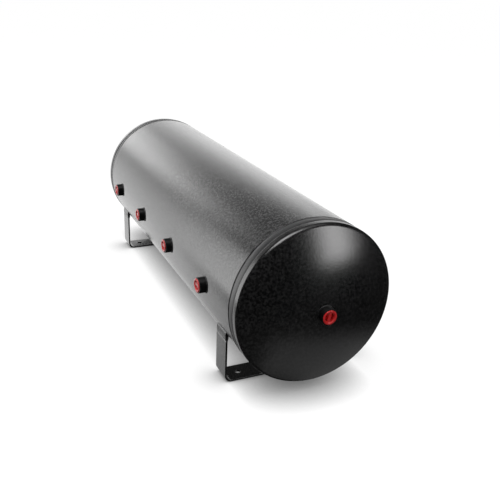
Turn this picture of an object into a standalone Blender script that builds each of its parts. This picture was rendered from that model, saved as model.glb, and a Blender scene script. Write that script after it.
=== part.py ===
"""Air receiver tank, 8 in diameter, nominal 5 US gallons, on two welded U brackets.

Metres, +Z up. The tank lies along X with its row of side ports facing -Y. The origin is on the
mounting plane, under the middle of the tank's box.
"""
import math

import bmesh
import bpy
from mathutils import Matrix, Quaternion, Vector

# Driving dimensions, shell and heads
SHELL_DIAMETER = 0.2032
SHELL_WALL = 0.003
TANGENT_LENGTH = 0.602          # between the lines where the two heads start to curve
FLANGE_LENGTH = 0.007           # straight flange of a head, outside the shell
GROOVE_WIDTH = 0.012            # girth weld groove between the shell's end and the flange
HEAD_DEPTH = 0.025              # from the tangent line to the crown
HEAD_WALL = 0.003
KNUCKLE_RADIUS = 0.006
BACKING_LIP = 0.012             # joggled lip of a head inside the shell
GIRTH_BEAD_CROWN_DROP = 0.0005  # crown of the girth weld below the shell's surface
GIRTH_BEAD_EDGE_DROP = 0.0020
SHELL_END_CHAMFER = 0.0005

# Longitudinal seam
SEAM_ANGLE = math.radians(-15.0)  # from +Y, on the side away from the ports
SEAM_WIDTH = 0.0060
SEAM_HEIGHT = 0.0009

# Ports
PORT_COUNT = 4
PORT_PITCH = 0.1377
BUNG_DIAMETER = 0.020
BUNG_BORE = 0.0138
BUNG_INSIDE = 0.002             # how far a bung runs past the wall's inner face
BUNG_CHAMFER = 0.0005
BUNG_SEAT_DEPTH = 0.0002        # spot-faced seat in a bung's end face
SIDE_BUNG_PROUD = 0.010
HEAD_BUNG_PROUD = 0.009
DRAIN_BUNG_PROUD = 0.005
BUNG_WELD_LEG = 0.0020
BUNG_WELD_HEIGHT = 0.0018
BUNG_WELD_TOE = 0.0004          # thickness of a fillet at its outer edge
BUNG_WELD_BULGE = 0.0003

# Push-in plugs
PLUG_FLANGE_DIAMETER = 0.0176
PLUG_FLANGE_THICKNESS = 0.0012
PLUG_DEPTH = 0.009              # from the flange's underside to the plug's inner end
PLUG_CUP_WALL = 0.0011
PLUG_FLOOR = 0.0014
PLUG_MOUTH_CHAMFER = 0.0010
PLUG_BAR_WIDTH = 0.0034
PLUG_BAR_RECESS = 0.0005        # top of the grip bar below the flange's face
PLUG_CLEARANCE = 0.0003

# U brackets
GROUND_CLEARANCE = 0.016        # under the shell, above the mounting plane
BRACKET_INSET = 0.0655          # bracket centre from the tangent line
STRAP_WIDTH = 0.031
STRAP_THICKNESS = 0.0025
LEG_SPAN = 0.181                # over the outer faces of the two legs
BEND_RADIUS = 0.010             # outside
LEG_BEVEL = 0.0082              # how much lower a leg ends on its outer face
BOLT_HOLE = 0.0071
BOLT_HOLE_SPACING = 0.1334
LEG_WELD_BULGE = 0.0012

GAP = 0.0003                    # clearance between pieces that touch
HOLE_OVERRUN = 0.004            # cutters run this far past the wall on both sides
ROUND_SEGMENTS = 64             # shell and heads
PORT_SEGMENTS = 24
PORT_FACET_TURN = math.pi / PORT_SEGMENTS  # bungs and their holes sit with a facet's middle up
ARC_STEP = math.radians(15.0)
DISH_STEPS = 5

SHELL_RADIUS = SHELL_DIAMETER / 2
BUNG_RADIUS = BUNG_DIAMETER / 2
SHELL_HALF = TANGENT_LENGTH / 2 - FLANGE_LENGTH - GROOVE_WIDTH
AXIS_HEIGHT = SHELL_RADIUS + GROUND_CLEARANCE
LEG_OUTER = LEG_SPAN / 2
LEG_INNER = LEG_OUTER - STRAP_THICKNESS

# The side plugs stand proud of the shell, so the axis is set back to centre the whole box
AXIS_Y = (SIDE_BUNG_PROUD + GAP + PLUG_FLANGE_THICKNESS) / 2
AXIS = Vector((0.0, AXIS_Y, AXIS_HEIGHT))

TO_RIGHT = Vector((1, 0, 0))
TO_LEFT = Vector((-1, 0, 0))
TO_FRONT = Vector((0, -1, 0))
TO_FLOOR = Vector((0, 0, -1))


# ---------------------------------------------------------------- scene, materials and helpers

def clear_scene():
    for obj in list(bpy.data.objects):
        bpy.data.objects.remove(obj, do_unlink=True)


def new_collection(name):
    collection = bpy.data.collections.new(name)
    bpy.context.scene.collection.children.link(collection)
    return collection


def new_material(name, color, roughness, metallic=0.0):
    material = bpy.data.materials.new(name)
    material.use_nodes = True
    shader = material.node_tree.nodes["Principled BSDF"]
    shader.inputs["Base Color"].default_value = (*color, 1.0)
    shader.inputs["Roughness"].default_value = roughness
    shader.inputs["Metallic"].default_value = metallic
    return material


def new_part(name, mesh, color, roughness, collection, matrix=None):
    """One named sub-part with a material of its own."""
    part = bpy.data.objects.new(name, mesh)
    collection.objects.link(part)
    if matrix is not None:
        part.matrix_world = matrix
    mesh.materials.clear()
    mesh.materials.append(new_material(f"{name}_finish", color, roughness))
    return part


def evaluated_mesh(source, angle=35.0):
    """The mesh that an object's modifiers or curve make, smooth but for its real edges."""
    bpy.context.view_layer.update()
    graph = bpy.context.evaluated_depsgraph_get()
    mesh = bpy.data.meshes.new_from_object(source.evaluated_get(graph))
    work = bmesh.new()
    work.from_mesh(mesh)
    bmesh.ops.remove_doubles(work, verts=work.verts, dist=0.000001)
    work.to_mesh(mesh)
    work.free()
    mesh.shade_smooth()
    mesh.set_sharp_from_angle(angle=math.radians(angle))
    bpy.data.objects.remove(source, do_unlink=True)
    return mesh


def turned_mesh(name, profile, segments, closed):
    """Turns a profile of (radius, height) points round Z. Its outer side runs top to bottom."""
    mesh = bpy.data.meshes.new(f"{name}_profile")
    points = [(radius, 0.0, height) for radius, height in profile]
    edges = [(i, i + 1) for i in range(len(points) - 1)]
    if closed:
        edges.append((len(points) - 1, 0))
    mesh.from_pydata(points, edges, [])
    source = bpy.data.objects.new(f"{name}_profile", mesh)
    bpy.context.scene.collection.objects.link(source)
    screw = source.modifiers.new("turn", "SCREW")
    screw.axis = "Z"
    screw.angle = 2 * math.pi
    screw.steps = segments
    screw.render_steps = segments
    screw.use_merge_vertices = True
    screw.merge_threshold = 0.00001
    return evaluated_mesh(source)


def extruded_mesh(name, outline, half_depth):
    """A closed outline in a curve's own XY plane, extruded both ways along its Z."""
    curve = bpy.data.curves.new(f"{name}_outline", "CURVE")
    curve.dimensions = "2D"
    curve.fill_mode = "BOTH"
    curve.extrude = half_depth
    spline = curve.splines.new("POLY")
    spline.points.add(len(outline) - 1)
    for point, (x, y) in zip(spline.points, outline):
        point.co = (x, y, 0.0, 1.0)
    spline.use_cyclic_u = True
    source = bpy.data.objects.new(f"{name}_outline", curve)
    bpy.context.scene.collection.objects.link(source)
    return evaluated_mesh(source)


def cylinder_cutter(name, radius, depth, matrix, segments, collection):
    mesh = bpy.data.meshes.new(name)
    work = bmesh.new()
    bmesh.ops.create_cone(work, cap_ends=True, segments=segments, radius1=radius, radius2=radius,
                          depth=depth)
    work.to_mesh(mesh)
    work.free()
    mesh.shade_smooth()
    mesh.set_sharp_from_angle(angle=math.radians(35.0))
    cutter = bpy.data.objects.new(name, mesh)
    collection.objects.link(cutter)
    cutter.matrix_world = matrix
    cutter.hide_render = True
    cutter.display_type = "WIRE"
    return cutter


def cut(part, cutter):
    modifier = part.modifiers.new(f"cut_{cutter.name}", "BOOLEAN")
    modifier.operation = "DIFFERENCE"
    modifier.solver = "EXACT"
    modifier.object = cutter


def arc_points(centre, radius, start, end):
    """Points on an arc from one angle to another, both ends included."""
    steps = max(2, math.ceil(abs(end - start) / ARC_STEP))
    angles = [start + (end - start) * i / steps for i in range(steps + 1)]
    return [(centre[0] + radius * math.cos(a), centre[1] + radius * math.sin(a)) for a in angles]


def place(origin, outward, clocking=0.0):
    """Matrix that stands a piece's own Z along a direction, turned by an angle about it."""
    turn = outward.to_track_quat("Z", "Y") @ Quaternion((0, 0, 1), clocking)
    return Matrix.Translation(origin) @ turn.to_matrix().to_4x4()


def port_matrix(port):
    """Matrix of a bung, its hole and its weld, all with their facets in line."""
    return place(port["origin"], port["outward"], PORT_FACET_TURN)


def along_x(origin):
    """Matrix for an outline drawn in YZ: its own X to +Y, its Y to +Z and its Z to +X."""
    turn = Matrix(((0, 0, 1, 0), (1, 0, 0, 0), (0, 1, 0, 0), (0, 0, 0, 1)))
    return Matrix.Translation(origin) @ turn


# ---------------------------------------------------------------- shell and its seam

def make_shell(parts, cutters, ports):
    """Rolled tube with a hole for every bung that passes through its wall."""
    inner = SHELL_RADIUS - SHELL_WALL
    edge = SHELL_RADIUS - SHELL_END_CHAMFER
    profile = [
        (edge, SHELL_HALF),
        (SHELL_RADIUS, SHELL_HALF - SHELL_END_CHAMFER),
        (SHELL_RADIUS, SHELL_END_CHAMFER - SHELL_HALF),
        (edge, -SHELL_HALF),
        (inner, -SHELL_HALF),
        (inner, SHELL_HALF),
    ]
    mesh = turned_mesh("shell", profile, ROUND_SEGMENTS, closed=True)
    shell = new_part("shell", mesh, (0.035, 0.036, 0.038), 0.42, parts, place(AXIS, TO_RIGHT))
    for port in ports:
        if port["on_shell"]:
            depth = 2 * (SHELL_WALL + HOLE_OVERRUN)
            cutter = cylinder_cutter(f"{port['name']}_hole", BUNG_RADIUS + GAP, depth,
                                     port_matrix(port), PORT_SEGMENTS, cutters)
            cut(shell, cutter)
    return shell


def shell_envelope(cutters):
    """The shell's outside with the clearance that welds laid on it keep."""
    length = 2 * SHELL_HALF + 2 * HOLE_OVERRUN
    return cylinder_cutter("shell_envelope", SHELL_RADIUS + GAP, length, place(AXIS, TO_RIGHT),
                           ROUND_SEGMENTS, cutters)


def make_seam_weld(parts):
    """Longitudinal bead on the rolled shell, low and slightly crowned."""
    half_angle = SEAM_WIDTH / 2 / SHELL_RADIUS
    base = SHELL_RADIUS + GAP
    steps = 6
    crown = []
    for i in range(steps + 1):
        t = i / steps
        angle = SEAM_ANGLE - half_angle + 2 * half_angle * t
        radius = base + 0.0001 + (SEAM_HEIGHT - 0.0001) * math.sin(math.pi * t)
        crown.append((radius * math.cos(angle), radius * math.sin(angle)))
    foot = [(base * math.cos(SEAM_ANGLE + half_angle), base * math.sin(SEAM_ANGLE + half_angle)),
            (base * math.cos(SEAM_ANGLE), base * math.sin(SEAM_ANGLE)),
            (base * math.cos(SEAM_ANGLE - half_angle), base * math.sin(SEAM_ANGLE - half_angle))]
    mesh = extruded_mesh("seam_weld", crown + foot, SHELL_HALF - SHELL_END_CHAMFER)
    return new_part("seam_weld", mesh, (0.035, 0.036, 0.038), 0.5, parts, along_x(AXIS))


# ---------------------------------------------------------------- dished heads

def head_dish(radius, depth, knuckle):
    """Dish radius, and the knuckle's angle, of a head that meets its flange tangentially."""
    reach = radius - knuckle
    dish = (reach ** 2 + depth ** 2 - knuckle ** 2) / (2 * (depth - knuckle))
    angle = math.atan2(reach, dish - depth)
    return dish, angle


def head_outline(radius, depth, knuckle, hole):
    """Points from the hole's edge over the dish and knuckle to the tangent line, at height 0."""
    dish, angle = head_dish(radius, depth, knuckle)
    start = math.asin(hole / dish)
    points = []
    for i in range(DISH_STEPS):
        t = start + (angle - start) * i / DISH_STEPS
        points.append((dish * math.sin(t), dish * math.cos(t) - (dish - depth)))
    for r, h in arc_points((radius - knuckle, 0.0), knuckle, math.pi / 2 - angle, 0.0):
        points.append((r, h))
    return points


def make_head(name, outward, parts):
    """Dished head: dish, knuckle, straight flange, and a joggled lip inside the shell."""
    hole = BUNG_RADIUS + GAP
    lip_outer = SHELL_RADIUS - SHELL_WALL - GAP
    lip_inner = lip_outer - HEAD_WALL
    lip_end = -FLANGE_LENGTH - GROOVE_WIDTH - BACKING_LIP
    outside = head_outline(SHELL_RADIUS, HEAD_DEPTH, KNUCKLE_RADIUS, hole)
    inside = head_outline(SHELL_RADIUS - HEAD_WALL, HEAD_DEPTH - HEAD_WALL,
                          KNUCKLE_RADIUS - HEAD_WALL, hole)
    profile = outside + [
        (SHELL_RADIUS, -FLANGE_LENGTH),
        (lip_outer, -FLANGE_LENGTH),
        (lip_outer, lip_end),
        (lip_inner, lip_end),
        (lip_inner, -FLANGE_LENGTH),
    ] + inside[::-1]
    mesh = turned_mesh(name, profile, ROUND_SEGMENTS, closed=True)
    tangent = AXIS + outward * (TANGENT_LENGTH / 2)
    return new_part(name, mesh, (0.012, 0.012, 0.013), 0.38, parts, place(tangent, outward))


def make_girth_weld(name, outward, parts):
    """Crowned bead lying in the groove between the shell's end and a head's flange."""
    floor = SHELL_RADIUS - SHELL_WALL
    half = GROOVE_WIDTH / 2 - GAP
    edge = SHELL_RADIUS - GIRTH_BEAD_EDGE_DROP
    rise = GIRTH_BEAD_EDGE_DROP - GIRTH_BEAD_CROWN_DROP
    steps = 4
    crown = []
    for i in range(steps + 1):
        t = i / steps
        crown.append((edge + rise * math.sin(math.pi * t), half - 2 * half * t))
    profile = crown + [(floor, -half), (floor, half)]
    mesh = turned_mesh(name, profile, ROUND_SEGMENTS, closed=True)
    middle = AXIS + outward * (SHELL_HALF + GROOVE_WIDTH / 2)
    return new_part(name, mesh, (0.020, 0.020, 0.021), 0.5, parts, place(middle, outward))


# ---------------------------------------------------------------- ports

def list_ports():
    """Every port: where its axis leaves the tank's surface, its direction and how proud it is."""
    ports = []
    for i in range(PORT_COUNT):
        x = (i - (PORT_COUNT - 1) / 2) * PORT_PITCH
        origin = AXIS + Vector((x, 0, 0)) + TO_FRONT * SHELL_RADIUS
        ports.append({"name": f"side_{i + 1}", "origin": origin, "outward": TO_FRONT,
                      "proud": SIDE_BUNG_PROUD, "on_shell": True,
                      "clocking": math.radians(8.0 - 5.0 * i)})
    drain = AXIS + TO_FLOOR * SHELL_RADIUS
    ports.append({"name": "drain", "origin": drain, "outward": TO_FLOOR,
                  "proud": DRAIN_BUNG_PROUD, "on_shell": True, "clocking": math.radians(20.0)})
    for name, outward, clocking in (("right_end", TO_RIGHT, 80.0), ("left_end", TO_LEFT, -35.0)):
        crown = AXIS + outward * (TANGENT_LENGTH / 2 + HEAD_DEPTH)
        ports.append({"name": name, "origin": crown, "outward": outward,
                      "proud": HEAD_BUNG_PROUD, "on_shell": False,
                      "clocking": math.radians(clocking)})
    return ports


def make_bung(port, parts):
    """Weld-in bung, a plain tapped collar with its outer edge chamfered.

    Its end face is spot-faced under the plug's flange, within an outer land that stays free.
    """
    top = port["proud"]
    wall = SHELL_WALL if port["on_shell"] else HEAD_WALL
    bottom = -wall - BUNG_INSIDE
    face_edge = BUNG_RADIUS - BUNG_CHAMFER
    land = PLUG_FLANGE_DIAMETER / 2 + GAP
    profile = [
        (face_edge, top),
        (BUNG_RADIUS, top - BUNG_CHAMFER),
        (BUNG_RADIUS, bottom),
        (BUNG_BORE / 2, bottom),
    ]
    if land < face_edge:
        seat = top - BUNG_SEAT_DEPTH
        profile += [(BUNG_BORE / 2, seat), (land, seat), (land, top)]
    else:
        profile.append((BUNG_BORE / 2, top))
    name = f"{port['name']}_bung"
    mesh = turned_mesh(name, profile, PORT_SEGMENTS, closed=True)
    return new_part(name, mesh, (0.012, 0.012, 0.013), 0.4, parts, port_matrix(port))


def surface_drop(port, radius):
    """How far the head's dish has fallen away at a radius from the port's axis."""
    if port["on_shell"]:
        return 0.0
    dish, _ = head_dish(SHELL_RADIUS, HEAD_DEPTH, KNUCKLE_RADIUS)
    return dish - math.sqrt(dish ** 2 - radius ** 2)


def make_bung_weld(port, parts, envelope):
    """Fillet bead round a bung. On the shell its foot is cut to the shell's own curve."""
    near = BUNG_RADIUS + GAP
    far = near + BUNG_WELD_LEG
    steps = 3
    profile = []
    for i in range(steps + 1):
        t = i / steps
        radius = near + BUNG_WELD_LEG * t
        bulge = BUNG_WELD_BULGE * math.sin(math.pi * t)
        height = GAP + BUNG_WELD_TOE + (BUNG_WELD_HEIGHT - BUNG_WELD_TOE) * (1 - t) + bulge
        profile.append((radius + bulge, height - surface_drop(port, radius)))
    skirt = BUNG_WELD_HEIGHT if port["on_shell"] else 0.0
    for radius in (far, near):
        profile.append((radius, GAP - skirt - surface_drop(port, radius)))
    name = f"{port['name']}_bung_weld"
    mesh = turned_mesh(name, profile, PORT_SEGMENTS, closed=True)
    weld = new_part(name, mesh, (0.018, 0.018, 0.019), 0.5, parts, port_matrix(port))
    if port["on_shell"]:
        cut(weld, envelope)
    return weld


def make_plug(port, parts, guides):
    """Hollow push-in plug with a grip bar across its cup. Its origin is on its pulling axis."""
    seat = GAP
    face = seat + PLUG_FLANGE_THICKNESS
    flange = PLUG_FLANGE_DIAMETER / 2
    body = BUNG_BORE / 2 - PLUG_CLEARANCE
    cup = body - PLUG_CUP_WALL
    end = seat - PLUG_DEPTH
    floor = end + PLUG_FLOOR
    rim = PLUG_FLANGE_THICKNESS / 3
    profile = [
        (0.0, floor),
        (cup, floor),
        (cup, face - PLUG_MOUTH_CHAMFER),
        (cup + PLUG_MOUTH_CHAMFER, face),
        (flange - rim, face),
        (flange, face - rim),
        (flange, seat),
        (body, seat),
        (body, end),
        (0.0, end),
    ]
    name = f"{port['name']}_plug"
    mesh = turned_mesh(name, profile, PORT_SEGMENTS, closed=False)
    origin = port["origin"] + port["outward"] * port["proud"]
    matrix = place(origin, port["outward"], port["clocking"])
    plug = new_part(name, mesh, (0.62, 0.02, 0.022), 0.35, parts, matrix)

    bar_mesh = bpy.data.meshes.new(f"{name}_bar")
    work = bmesh.new()
    bar_length = 2 * cup + PLUG_CUP_WALL
    bar_bottom = floor - PLUG_FLOOR / 2
    bar_top = face - PLUG_BAR_RECESS - PLUG_MOUTH_CHAMFER / 2
    bmesh.ops.create_cube(work, size=1.0)
    bmesh.ops.scale(work, verts=work.verts, vec=(bar_length, PLUG_BAR_WIDTH, bar_top - bar_bottom))
    bmesh.ops.translate(work, verts=work.verts, vec=(0, 0, (bar_top + bar_bottom) / 2))
    work.to_mesh(bar_mesh)
    work.free()
    bar = bpy.data.objects.new(f"{name}_bar", bar_mesh)
    guides.objects.link(bar)
    bar.matrix_world = matrix
    bar.hide_render = True
    bar.display_type = "WIRE"
    join = plug.modifiers.new("grip_bar", "BOOLEAN")
    join.operation = "UNION"
    join.solver = "EXACT"
    join.object = bar
    return plug


# ---------------------------------------------------------------- U brackets

def surface_height(y, radius=SHELL_RADIUS):
    """Height of the shell's underside at a distance from its middle plane, from the axis."""
    return -math.sqrt(radius ** 2 - y ** 2)


def leg_top():
    """Heights where a leg ends, from the axis: at its inner and at its outer face."""
    inner = surface_height(LEG_INNER, SHELL_RADIUS + GAP)
    return inner - GAP, inner - GAP - LEG_BEVEL


def make_bracket(name, side, parts, cutters):
    """Flat strap bent into a U, its two legs bevelled where they meet the shell."""
    base = -AXIS_HEIGHT
    inner_top, outer_top = leg_top()
    bend_in = BEND_RADIUS - STRAP_THICKNESS
    corner = LEG_OUTER - BEND_RADIUS
    height = base + BEND_RADIUS
    outline = [(LEG_INNER, inner_top), (LEG_OUTER, outer_top)]
    outline += arc_points((corner, height), BEND_RADIUS, 0.0, -math.pi / 2)
    outline += arc_points((-corner, height), BEND_RADIUS, -math.pi / 2, -math.pi)
    outline.append((-LEG_OUTER, outer_top))
    outline.append((-LEG_INNER, inner_top))
    outline += arc_points((-corner, height), bend_in, -math.pi, -math.pi / 2)
    outline += arc_points((corner, height), bend_in, -math.pi / 2, 0.0)
    mesh = extruded_mesh(name, outline, STRAP_WIDTH / 2)
    centre = AXIS + side * (TANGENT_LENGTH / 2 - BRACKET_INSET)
    bracket = new_part(name, mesh, (0.014, 0.014, 0.015), 0.45, parts, along_x(centre))
    for label, y in (("front", -BOLT_HOLE_SPACING / 2), ("back", BOLT_HOLE_SPACING / 2)):
        spot = centre + Vector((0, y, STRAP_THICKNESS / 2 - AXIS_HEIGHT))
        cutter = cylinder_cutter(f"{name}_{label}_bolt_hole", BOLT_HOLE / 2,
                                 STRAP_THICKNESS + 2 * HOLE_OVERRUN, Matrix.Translation(spot),
                                 PORT_SEGMENTS, cutters)
        cut(bracket, cutter)
    return bracket


def make_leg_weld(name, side, front, parts):
    """Bead that fills the bevel of a leg, up onto the shell."""
    inner_top, outer_top = leg_top()
    slope = Vector((STRAP_THICKNESS, outer_top - inner_top)).normalized()
    out = Vector((-slope.y, slope.x))
    low = Vector((LEG_OUTER, outer_top)) + out * GAP
    foot = Vector((LEG_INNER, inner_top)) + out * GAP * 1.5
    radius = SHELL_RADIUS + GAP
    reach = LEG_INNER + STRAP_THICKNESS * 0.75
    tip = Vector((reach, surface_height(reach, radius)))
    steps = 4
    face = []
    for i in range(steps + 1):
        t = i / steps
        bulge = out * (LEG_WELD_BULGE * math.sin(math.pi * t))
        point = low.lerp(tip, t) + bulge
        face.append((point.x, point.y))
    middle = (foot.x + reach) / 2
    on_shell = [(middle, surface_height(middle, radius)), (foot.x, foot.y)]
    outline = face + on_shell
    mesh = extruded_mesh(name, outline, STRAP_WIDTH / 2)
    centre = AXIS + side * (TANGENT_LENGTH / 2 - BRACKET_INSET)
    if front:
        matrix = Matrix.Translation(centre) @ Matrix.Rotation(math.pi, 4, "Z") @ along_x(Vector())
    else:
        matrix = along_x(centre)
    return new_part(name, mesh, (0.018, 0.018, 0.019), 0.5, parts, matrix)


# ---------------------------------------------------------------- assembly

def main():
    clear_scene()
    parts = new_collection("air_receiver_tank")
    cutters = new_collection("cutters")
    ports = list_ports()

    make_shell(parts, cutters, ports)
    make_seam_weld(parts)
    envelope = shell_envelope(cutters)
    for side, outward in (("right", TO_RIGHT), ("left", TO_LEFT)):
        make_head(f"{side}_head", outward, parts)
        make_girth_weld(f"{side}_girth_weld", outward, parts)
        make_bracket(f"{side}_bracket", outward, parts, cutters)
        make_leg_weld(f"{side}_bracket_front_weld", outward, True, parts)
        make_leg_weld(f"{side}_bracket_back_weld", outward, False, parts)
    for port in ports:
        make_bung(port, parts)
        make_bung_weld(port, parts, envelope)
        make_plug(port, parts, cutters)


main()
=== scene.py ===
"""Looks of the air receiver tank: satin black coat, welds, tapped collars and red push-in plugs.

Every length is in metres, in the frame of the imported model: the tank lies along X, its row of
ports faces -Y and its brackets stand on Z = 0. Each sub-assembly is a class that takes its place
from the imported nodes' boxes, and each finish is a small class that builds one material.
"""
import logging
import math
from dataclasses import dataclass
from enum import Enum
from typing import Any, Callable, Optional, Sequence, Union

import bmesh
import bpy
from mathutils import Matrix, Quaternion, Vector


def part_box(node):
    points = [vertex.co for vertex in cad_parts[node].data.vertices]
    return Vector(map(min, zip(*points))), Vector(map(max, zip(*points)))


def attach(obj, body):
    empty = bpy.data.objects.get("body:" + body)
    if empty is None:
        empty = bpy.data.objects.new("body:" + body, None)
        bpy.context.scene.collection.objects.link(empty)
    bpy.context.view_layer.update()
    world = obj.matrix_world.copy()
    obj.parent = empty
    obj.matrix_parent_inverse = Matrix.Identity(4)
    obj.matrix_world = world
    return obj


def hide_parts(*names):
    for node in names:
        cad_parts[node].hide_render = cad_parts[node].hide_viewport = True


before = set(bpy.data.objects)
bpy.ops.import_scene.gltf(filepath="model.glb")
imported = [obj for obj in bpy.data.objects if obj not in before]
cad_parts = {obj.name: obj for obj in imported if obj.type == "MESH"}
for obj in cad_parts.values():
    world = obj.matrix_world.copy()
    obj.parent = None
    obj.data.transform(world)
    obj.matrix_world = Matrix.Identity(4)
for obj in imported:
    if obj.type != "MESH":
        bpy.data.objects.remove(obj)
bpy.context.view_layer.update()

log = logging.getLogger("air_receiver_tank")

Point2 = tuple[float, float]
Colour = tuple[float, float, float]
TANK_BODY = "tank"
WELD_SEED = 11
GAP = 0.0003  # clearance between pieces that touch
WHITE: Colour = (1.0, 1.0, 1.0)


class Side(Enum):
    """The two ends of the tank, each with its outward direction along X."""

    RIGHT = 1
    LEFT = -1

    @property
    def label(self) -> str:
        """The name that nodes of this end start with."""
        return self.name.lower()

    @property
    def outward(self) -> Vector:
        """Unit vector that points out of the tank at this end."""
        return Vector((self.value, 0, 0))


class Facing(Enum):
    """The directions in which ports leave the tank."""

    FRONT = (0, -1, 0)
    FLOOR = (0, 0, -1)
    RIGHT = (1, 0, 0)
    LEFT = (-1, 0, 0)

    @property
    def outward(self) -> Vector:
        """Unit vector out of the port."""
        return Vector(self.value)

    @property
    def on_shell(self) -> bool:
        """Whether the port is in the rolled shell and not in a head."""
        return self in (Facing.FRONT, Facing.FLOOR)


class Slot(Enum):
    """Names of the material slots."""

    SHELL = "shell_paint"
    HEAD = "head_paint"
    WELD = "weld_paint"
    BUNG = "bung_paint"
    BRACKET = "bracket_paint"
    PLUG = "plug_plastic"


# ------------------------------------------------------------------------------- node trees

Feed = Union[bpy.types.NodeSocket, float, int, bool, Sequence[float], bpy.types.Material]


class Graph:
    """A node tree under construction, with short forms for adding and joining nodes."""

    def __init__(self, tree: bpy.types.NodeTree) -> None:
        """Wraps a tree.

        Args:
            tree: The shader or geometry node tree to add to.
        """
        self.tree = tree

    def add(self, kind: str, inputs: Optional[dict[Union[str, int], Feed]] = None,
            **settings: Any) -> bpy.types.Node:
        """Adds one node.

        Args:
            kind: The node's type name.
            inputs: A value or a socket for each input, by name or index.
            **settings: Properties of the node itself, set before its inputs.

        Returns:
            The new node.
        """
        node = self.tree.nodes.new(kind)
        for name, value in settings.items():
            setattr(node, name, value)
        for key, value in (inputs or {}).items():
            self.feed(node.inputs[key], value)
        return node

    def feed(self, socket: bpy.types.NodeSocket, value: Feed) -> None:
        """Joins an input to an output, or sets its value."""
        if isinstance(value, bpy.types.NodeSocket):
            self.tree.links.new(value, socket)
        else:
            socket.default_value = value

    def math(self, operation: str, first: Feed, second: Feed = 0.0,
             clamp: bool = False) -> bpy.types.NodeSocket:
        """Adds a Math node and returns its output."""
        node = self.add("ShaderNodeMath", {0: first, 1: second}, operation=operation,
                        use_clamp=clamp)
        return node.outputs[0]

    def vector_math(self, operation: str, first: Feed, second: Feed,
                    output: str = "Vector") -> bpy.types.NodeSocket:
        """Adds a Vector Math node and returns one of its outputs."""
        node = self.add("ShaderNodeVectorMath", {0: first, 1: second}, operation=operation)
        return node.outputs[output]

    def vector(self, x: Feed, y: Feed, z: Feed) -> bpy.types.NodeSocket:
        """Adds a Combine XYZ node and returns the vector."""
        return self.add("ShaderNodeCombineXYZ", {"X": x, "Y": y, "Z": z}).outputs[0]

    def remap(self, value: Feed, low: Feed, high: Feed, to_low: Feed = 0.0,
              to_high: Feed = 1.0, smooth: bool = False) -> bpy.types.NodeSocket:
        """Adds a clamped Map Range node and returns its result."""
        node = self.add("ShaderNodeMapRange", {"Value": value, "From Min": low, "From Max": high,
                                               "To Min": to_low, "To Max": to_high},
                        interpolation_type="SMOOTHSTEP" if smooth else "LINEAR")
        return node.outputs["Result"]

    def noise(self, vector: Feed, scale: Feed, detail: float = 2.0,
              roughness: float = 0.5) -> bpy.types.NodeSocket:
        """Adds a Noise Texture and returns its value, which averages one half."""
        node = self.add("ShaderNodeTexNoise", {"Vector": vector, "Scale": scale, "Detail": detail,
                                               "Roughness": roughness})
        return node.outputs[0]

    def mix_colour(self, factor: Feed, first: Feed, second: Feed) -> bpy.types.NodeSocket:
        """Adds a colour Mix node and returns its result."""
        node = self.tree.nodes.new("ShaderNodeMix")
        node.data_type = "RGBA"
        colour_inputs = [socket for socket in node.inputs if socket.type == "RGBA"]
        self.feed(node.inputs["Factor"], factor)
        self.feed(colour_inputs[0], first)
        self.feed(colour_inputs[1], second)
        return next(socket for socket in node.outputs if socket.type == "RGBA")

    def dress(self, geometry: Feed, material: Feed, result: bpy.types.NodeSocket) -> None:
        """Ends a geometry tree: makes its instances real and gives them their material.

        Args:
            geometry: The finished shape.
            material: The group's material input.
            result: The group output that takes the dressed shape.
        """
        real = self.add("GeometryNodeRealizeInstances", {"Geometry": geometry})
        dressed = self.add("GeometryNodeSetMaterial", {"Geometry": real.outputs["Geometry"],
                                                       "Material": material})
        self.feed(result, dressed.outputs["Geometry"])


def rgba(colour: Colour) -> tuple[float, float, float, float]:
    """The colour with full opacity."""
    return (*colour, 1.0)


SOCKET_TYPES = {float: "NodeSocketFloat", int: "NodeSocketInt", tuple: "NodeSocketVector"}


def new_group(name: str, kind: str, inputs: dict[str, Union[float, int, tuple, str]],
              outputs: dict[str, str]) -> tuple[Graph, Any, Any]:
    """Starts a node group with its interface.

    Args:
        name: The group's name.
        kind: ShaderNodeTree or GeometryNodeTree.
        inputs: Default value for each input's name, or the type of a socket without one.
        outputs: Socket type for each output's name.

    Returns:
        The graph, the sockets that it is given, and the sockets that take its results, by name.
    """
    tree = bpy.data.node_groups.new(name, kind)
    for label, value in inputs.items():
        has_default = not isinstance(value, str)
        socket_type = SOCKET_TYPES[type(value)] if has_default else value
        socket = tree.interface.new_socket(name=label, in_out="INPUT", socket_type=socket_type)
        if has_default:
            socket.default_value = value
    for label, socket_type in outputs.items():
        tree.interface.new_socket(name=label, in_out="OUTPUT", socket_type=socket_type)
    graph = Graph(tree)
    return graph, graph.add("NodeGroupInput").outputs, graph.add("NodeGroupOutput").inputs


def cached(build: Callable[[], bpy.types.NodeTree]) -> Callable[[], bpy.types.NodeTree]:
    """Makes a tree's builder build it once and hand out the same tree after that."""
    store: list[bpy.types.NodeTree] = []

    def fetch() -> bpy.types.NodeTree:
        """Returns the one tree, built at the first call."""
        if not store:
            store.append(build())
        return store[0]

    return fetch


# ----------------------------------------------------------------------- shared shader groups

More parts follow.
